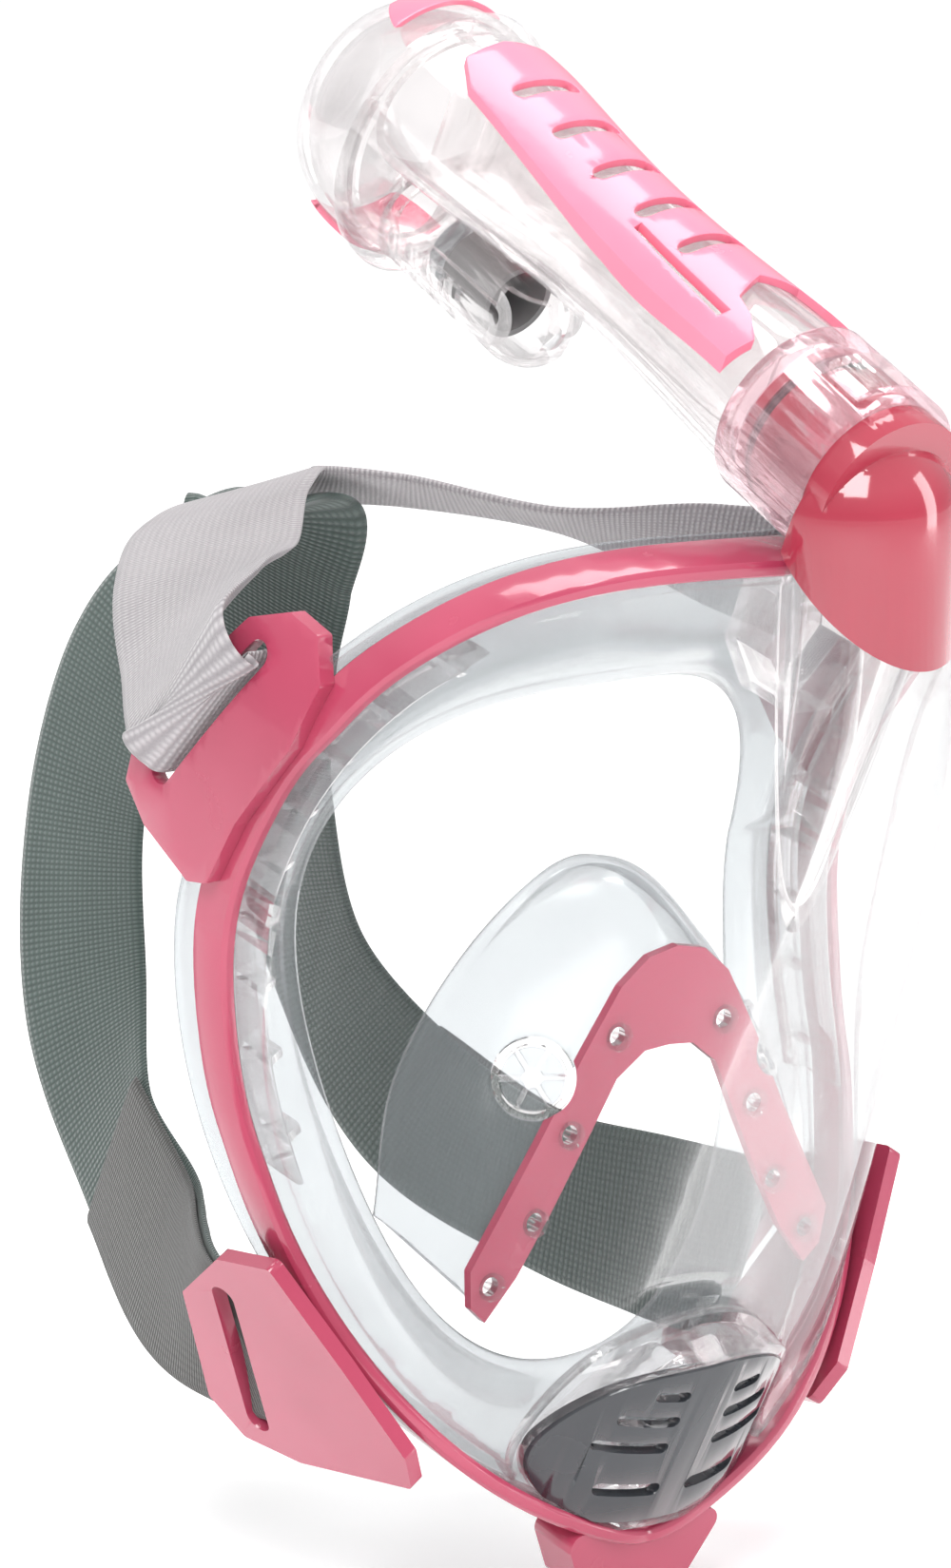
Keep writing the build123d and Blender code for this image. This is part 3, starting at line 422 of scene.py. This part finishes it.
def make_skirt():
    """The soft skirt, from its flange behind the ring inwards to the lip round the face."""
    rows = []
    for step in range(SKIRT_STEPS):
        angle = 2 * math.pi * step / SKIRT_STEPS
        edge = outline_radius(angle)
        top_gap = FLANGE_GAP_TOP * max(0, math.cos(angle)) ** 4
        back = ring_y(angle) + RING_WIDTH / 2 + FLANGE_GAP + top_gap
        proud = edge + FLANGE_PROUD * math.sin(angle) ** 2
        lip, lip_y = opening_edge(angle)
        bulge = BULGE_ABOVE if math.cos(angle) > 0 else BULGE_BELOW
        near = between(edge, lip, NEAR_FLANGE)
        near_y = between(back, lip_y, NEAR_FLANGE) - bulge * NEAR_BULGE
        middle = between(edge, lip, NEAR_LIP)
        middle_y = between(back, lip_y, NEAR_LIP) - bulge
        keys = [(proud - FLANGE_END, back), (edge - FLANGE_TURN, back), (near, near_y),
                (middle, middle_y), (lip + LIP_OUT, lip_y + LIP_BACK)]
        line = smooth_path(keys, SKIRT_WALL_STEPS)
        loop = wall_loop(line, SKIRT_WALL, FLANGE_BEAD, LIP_BEAD)
        rows.append([(r * math.sin(angle), y, WIDEST_Z + r * math.cos(angle)) for r, y in loop])
    piece = grid_piece("skirt_soft", rows, True, SILICONE)
    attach(piece, "mask")
    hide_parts("skirt")


# ---------------------------------------------------------------- nose-mouth pocket

POCKET_FRONT = ((0, -46.0, -1.5), (21, -48.9, -20), (36, -52.5, -45), (44.5, -56.2, -71))
POCKET_MIDDLE = ((0, -30, 10.5), (22, -34, -8), (40, -42, -34), (49, -50, -64))
POCKET_BACK = ((0, -14, 4.5), (26, -17, -8), (46, -22, -34), (54, -32, -60))
POCKET_STEPS, POCKET_WALL_STEPS = 120, 30
POCKET_HALF_WALL, POCKET_BEAD, POCKET_BEAD_REACH = 0.85, 0.6, 0.06
POCKET_TIP_START, POCKET_TIP_SLOPE = 0.4, 20
POCKET_CURVE = 0.75
VALVE_HOLE_RADIUS, VALVE_HOLE_DEPTH = 8.6, 12


def mirrored(keys):
    return [(-x, y, z) for x, y, z in reversed(keys[1:])] + list(keys)


def cut_valve_hole(piece, seat):
    """Open the pocket's wall where a valve seat sits in it."""
    points = np.array([vertex.co for vertex in seat.data.vertices])
    centre = (points.max(0) + points.min(0)) / 2
    _, _, axes = np.linalg.svd(points - points.mean(0), full_matrices=False)
    turn = Vector(axes[2]).to_track_quat("Z", "Y")
    bpy.ops.mesh.primitive_cylinder_add(
        vertices=64, radius=VALVE_HOLE_RADIUS * MM, depth=VALVE_HOLE_DEPTH * MM, location=centre)
    cutter = bpy.context.object
    cutter.rotation_mode = "QUATERNION"
    cutter.rotation_quaternion = turn
    hole = piece.modifiers.new("valve_hole", "BOOLEAN")
    hole.operation = "DIFFERENCE"
    hole.solver = "EXACT"
    hole.object = cutter
    bpy.context.view_layer.objects.active = piece
    bpy.ops.object.modifier_apply(modifier=hole.name)
    bpy.data.objects.remove(cutter)


def pocket_arc(front, middle, back):
    """Points of the pocket's wall from front to back, bowed out through the middle."""
    arc = []
    pull = middle * 2 - (front + back) / 2
    for place in range(POCKET_WALL_STEPS + 1):
        t = place / POCKET_WALL_STEPS
        straight = front * (1 - t) + back * t
        curved = front * (1 - t) ** 2 + pull * 2 * t * (1 - t) + back * t ** 2
        arc.append(straight * (1 - POCKET_CURVE) + curved * POCKET_CURVE)
    return arc


def pocket_half_wall(share):
    half = POCKET_HALF_WALL
    half += POCKET_BEAD * math.exp(-(share / POCKET_BEAD_REACH) ** 2)
    half += POCKET_BEAD * math.exp(-((1 - share) / POCKET_BEAD_REACH) ** 2)
    return half * min(1.0, POCKET_TIP_START + POCKET_TIP_SLOPE * min(share, 1 - share))


def make_pocket():
    """The soft nose-mouth pocket, with a hole at each valve seat."""
    steps, across = POCKET_STEPS, POCKET_WALL_STEPS
    lines = [smooth_path(mirrored(keys), steps)
             for keys in (POCKET_FRONT, POCKET_MIDDLE, POCKET_BACK)]
    centres = [pocket_arc(*(Vector(line[step]) for line in lines)) for step in range(steps + 1)]
    rows = []
    for step in range(steps + 1):
        one, other = [], []
        for place in range(across + 1):
            ahead = centres[min(step + 1, steps)][place] - centres[max(step - 1, 0)][place]
            along = centres[step][min(place + 1, across)] - centres[step][max(place - 1, 0)]
            out = ahead.cross(along).normalized() * pocket_half_wall(place / across)
            one.append(tuple(centres[step][place] + out))
            other.append(tuple(centres[step][place] - out))
        rows.append(one + other[::-1])
    piece = grid_piece("pocket_soft", rows, False, SILICONE)
    for label in ("left", "right"):
        cut_valve_hole(piece, nodes["oronasal_valve_seat_" + label])
    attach(piece, "mask")
    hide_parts("oronasal_pocket")


# ---------------------------------------------------------------- straps

STRAP_WALL, STRAP_HALF = 1.8, 20.0
SPAN_STEPS, BAND_STEPS = 40, 20
# A band's edges thin out beyond EDGE_START, by EDGE_THINNING, and its middle crowns.
EDGE_START, EDGE_THINNING, CROWN = 0.9, 0.72, 0.12
# The turned-back end: its wall, how much narrower it is and how far it lies off the strap.
END_WALL, END_INSET, END_OFFSET, END_START = 1.5, 0.4, 1.75, 5
STITCH_LINES, STITCH_REACH, STITCH_COUNT, STITCH_LIFT = (3, 6), 17.5, 16, 0.2
STITCH_LENGTH, STITCH_WIDTH, STITCH_HEIGHT = 0.72, 0.38, 0.30
SLOT_ANGLE = math.radians(120)
SLOT = (0, math.cos(SLOT_ANGLE), math.sin(SLOT_ANGLE))
HOOK_OUTSIDE = 88.7
UPPER_PATH = (
    ((0, 102.0, 41.4), (0, -0.84, 0.53)), ((24, 87.2, 44.1), (-0.42, -0.76, 0.48)),
    ((48, 61.5, 45.0), (-0.5, -0.7, 0.42)), ((70, 37.0, 45.0), (-0.25, -0.6, 0.75)),
    ((HOOK_OUTSIDE - 0.2, 17.0, 43.5), SLOT), ((HOOK_OUTSIDE - 0.6, 10.4, 38.5), SLOT),
    ((80.0, 9.5, 38.0), SLOT))
LOWER_PATH = (
    ((0, 99.6, 36.4), (0, -0.84, 0.54)), ((11, 108.8, 21.3), (0, -0.88, 0.48)),
    ((20, 114.0, -1.0), (0, -0.94, 0.35)), ((26, 111.6, -35.5), (0, -0.97, 0.24)),
    ((32, 94.5, -70.2), (-0.1, -0.79, 0.6)), ((40, 65.2, -93.1), (0.1, -0.45, 0.85)),
    ((51, 31.0, -100.0), (0.0, -0.3, 0.95)), ((61, 4.0, -98.0), (0.25, -0.2, 0.93)),
    ((66.8, -18.5, -93.8), (0.49, -0.09, 0.87)))


def band_rows(keys, half_width, thickness, outward):
    """Rows round a strap along the keys, and the matching cloth coordinates in metres."""
    flat = [centre + width for centre, width in keys]
    steps = SPAN_STEPS * (len(keys) - 1)
    points = smooth_path(flat, steps)
    rows, cloth = [], []
    travelled = 0.0
    for index, point in enumerate(points):
        centre, width = Vector(point[:3]), Vector(point[3:])
        before = Vector(points[max(index - 1, 0)][:3])
        after = Vector(points[min(index + 1, steps)][:3])
        along = (after - before).normalized()
        width = (width - along * width.dot(along)).normalized()
        face = along.cross(width).normalized()
        if index:
            travelled += (centre - Vector(points[index - 1][:3])).length
        loop, places = [], []
        for side in (1, -1):
            for step in range(BAND_STEPS + 1):
                share = (2 * step / BAND_STEPS - 1) * side
                past = max(0.0, abs(share) - EDGE_START) / (1 - EDGE_START)
                thin = thickness / 2 * (1 - EDGE_THINNING * past)
                crown = CROWN * math.cos(share * math.pi / 2)
                loop.append(tuple(centre + width * half_width * share
                                  + face * (side * thin + crown + outward)))
                places.append((share * half_width * MM, travelled * MM))
        rows.append(loop)
        cloth.append(places)
    return rows, cloth


def both_halves(keys):
    other = [((-c[0], c[1], c[2]), (-w[0], w[1], w[2])) for c, w in reversed(keys[1:])]
    return other + list(keys)


def make_straps():
    rows, cloth = band_rows(both_halves(LOWER_PATH), STRAP_HALF, STRAP_WALL, 0)
    piece = grid_piece("lower_strap_webbing", rows, False, DARK_WEBBING, cloth)
    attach(piece, "mask")
    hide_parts("lower_strap")
    rows, cloth = band_rows(both_halves(UPPER_PATH), STRAP_HALF, STRAP_WALL, 0)
    piece = grid_piece("upper_strap_webbing", rows, False, LIGHT_WEBBING, cloth)
    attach(piece, "mask")
    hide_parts("upper_strap")


def stitch_row(name, centre, across, face, reach, count):
    """One row of short stitches across a strap, as a single mesh."""
    work = bmesh.new()
    along = face.cross(across).normalized()
    for index in range(count):
        share = 2 * (index + 0.5) / count - 1
        place = row(centre + across * (reach * share))
        turn = Matrix((row(across) / MM, row(along) / MM, row(face) / MM)).transposed().to_4x4()
        size = Matrix.Diagonal((STITCH_LENGTH * reach / count * MM,
                                STITCH_WIDTH * MM, STITCH_HEIGHT * MM, 1.0))
        bmesh.ops.create_icosphere(work, subdivisions=2, radius=1.0,
                                   matrix=Matrix.Translation(place) @ turn @ size)
    mesh = bpy.data.meshes.new(name)
    work.to_mesh(mesh)
    work.free()
    mesh.materials.append(THREAD)
    mesh.shade_smooth()
    piece = bpy.data.objects.new(name, mesh)
    bpy.context.scene.collection.objects.link(piece)
    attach(piece, "mask")


def make_strap_ends():
    """The doubled end of the lower strap, turned back from each hook to a sewn seam."""
    for label, side in (("left", 1), ("right", -1)):
        keys = [((side * c[0], c[1], c[2]), (side * w[0], w[1], w[2]))
                for c, w in LOWER_PATH[END_START:]]
        rows, cloth = band_rows(keys, STRAP_HALF - END_INSET, END_WALL, -side * END_OFFSET)
        piece = grid_piece(f"strap_end_{label}", rows, False, END_WEBBING, cloth)
        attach(piece, "mask")
        for line in STITCH_LINES:
            # The outer face of a row: its first half on the right, its second on the left.
            first, last = (0, BAND_STEPS) if side < 0 else (2 * BAND_STEPS + 1, BAND_STEPS + 1)
            one, other = Vector(rows[line][first]), Vector(rows[line][last])
            across = (other - one).normalized()
            ahead = Vector(rows[line + 1][first]) - one
            face = ahead.cross(across).normalized() * -side
            centre = (one + other) / 2 + face * STITCH_LIFT
            name = f"stitches_{label}_{line}"
            stitch_row(name, centre, across, face, STITCH_REACH, STITCH_COUNT)


make_skirt()
make_pocket()
make_straps()
make_strap_ends()


# ---------------------------------------------------------------- room, light and camera

# Metres from here on, in the shared frame.
FLOOR_SIZE, FLOOR_DROP = 40, 0.004
TOWARDS_CAMERA, CAMERA_RIGHT = (-0.633, -0.754, 0.174), (0.766, -0.643, 0.0)
CAMERA_DISTANCE, CAMERA_ACROSS, CAMERA_UP = 1.9, 0.01124, 0.0145
CAMERA_LENS, CAMERA_SENSOR = 210.3, 36.0


def make_floor():
    bpy.ops.mesh.primitive_plane_add(size=FLOOR_SIZE, location=(0, 0, cad_low.z - FLOOR_DROP))
    floor = bpy.context.object
    floor.name = "floor"
    material, tree, shader = node_material("floor_paint")
    shader.inputs["Base Color"].default_value = (0.97, 0.97, 0.97, 1)
    shader.inputs["Roughness"].default_value = 0.9
    shader.inputs["Emission Color"].default_value = (1, 1, 1, 1)
    shader.inputs["Emission Strength"].default_value = 0.16
    floor.data.materials.append(material)


def make_world():
    """White behind the part, and a soft studio gradient for what it reflects."""
    world = bpy.data.worlds.new("studio")
    bpy.context.scene.world = world
    world.use_nodes = True
    tree = world.node_tree
    background = tree.nodes["Background"]
    coordinates = tree.nodes.new("ShaderNodeTexCoord")
    split = tree.nodes.new("ShaderNodeSeparateXYZ")
    tree.links.new(coordinates.outputs["Generated"], split.inputs["Vector"])
    level = spread(tree, split.outputs["Z"], 0.0, 1.0, -0.4, 0.9)
    shade = ramp(tree, level, [(0.0, (0.80, 0.80, 0.80)), (0.4, (0.45, 0.45, 0.46)),
                               (0.75, (0.95, 0.95, 0.95))])
    sight = tree.nodes.new("ShaderNodeLightPath")
    seen = tree.nodes.new("ShaderNodeMix")
    seen.data_type = "RGBA"
    tree.links.new(sight.outputs["Is Camera Ray"], seen.inputs["Factor"])
    tree.links.new(shade, seen.inputs["A"])
    seen.inputs["B"].default_value = (1.0, 1.0, 1.0, 1)
    tree.links.new(seen.outputs["Result"], background.inputs["Color"])
    background.inputs["Strength"].default_value = 1.0


def area_light(name, place, size, power):
    data = bpy.data.lights.new(name, "AREA")
    data.shape = "RECTANGLE"
    data.size, data.size_y = size
    data.energy = power
    lamp = bpy.data.objects.new(name, data)
    bpy.context.scene.collection.objects.link(lamp)
    lamp.location = place
    lamp.rotation_euler = (-Vector(place)).to_track_quat("-Z", "Y").to_euler()


def make_camera():
    away = Vector(TOWARDS_CAMERA).normalized()
    right = Vector(CAMERA_RIGHT).normalized()
    up = away.cross(right)
    data = bpy.data.cameras.new("camera")
    data.lens = CAMERA_LENS
    data.sensor_width = CAMERA_SENSOR
    camera = bpy.data.objects.new("camera", data)
    bpy.context.scene.collection.objects.link(camera)
    place = away * CAMERA_DISTANCE - right * CAMERA_ACROSS + up * CAMERA_UP
    turn = Matrix((right, up, away)).transposed().to_4x4()
    camera.matrix_world = Matrix.Translation(place) @ turn
    bpy.context.scene.camera = camera


make_floor()
make_world()
area_light("key", (-1.1, -0.9, 1.3), (0.9, 0.9), 24)
area_light("fill", (1.2, -1.2, 0.5), (0.5, 1.4), 12)
area_light("top", (0.1, 0.3, 1.5), (1.2, 0.6), 12)
make_camera()
bpy.context.scene.view_settings.view_transform = "Standard"
bpy.context.scene.cycles.transparent_max_bounces = 48
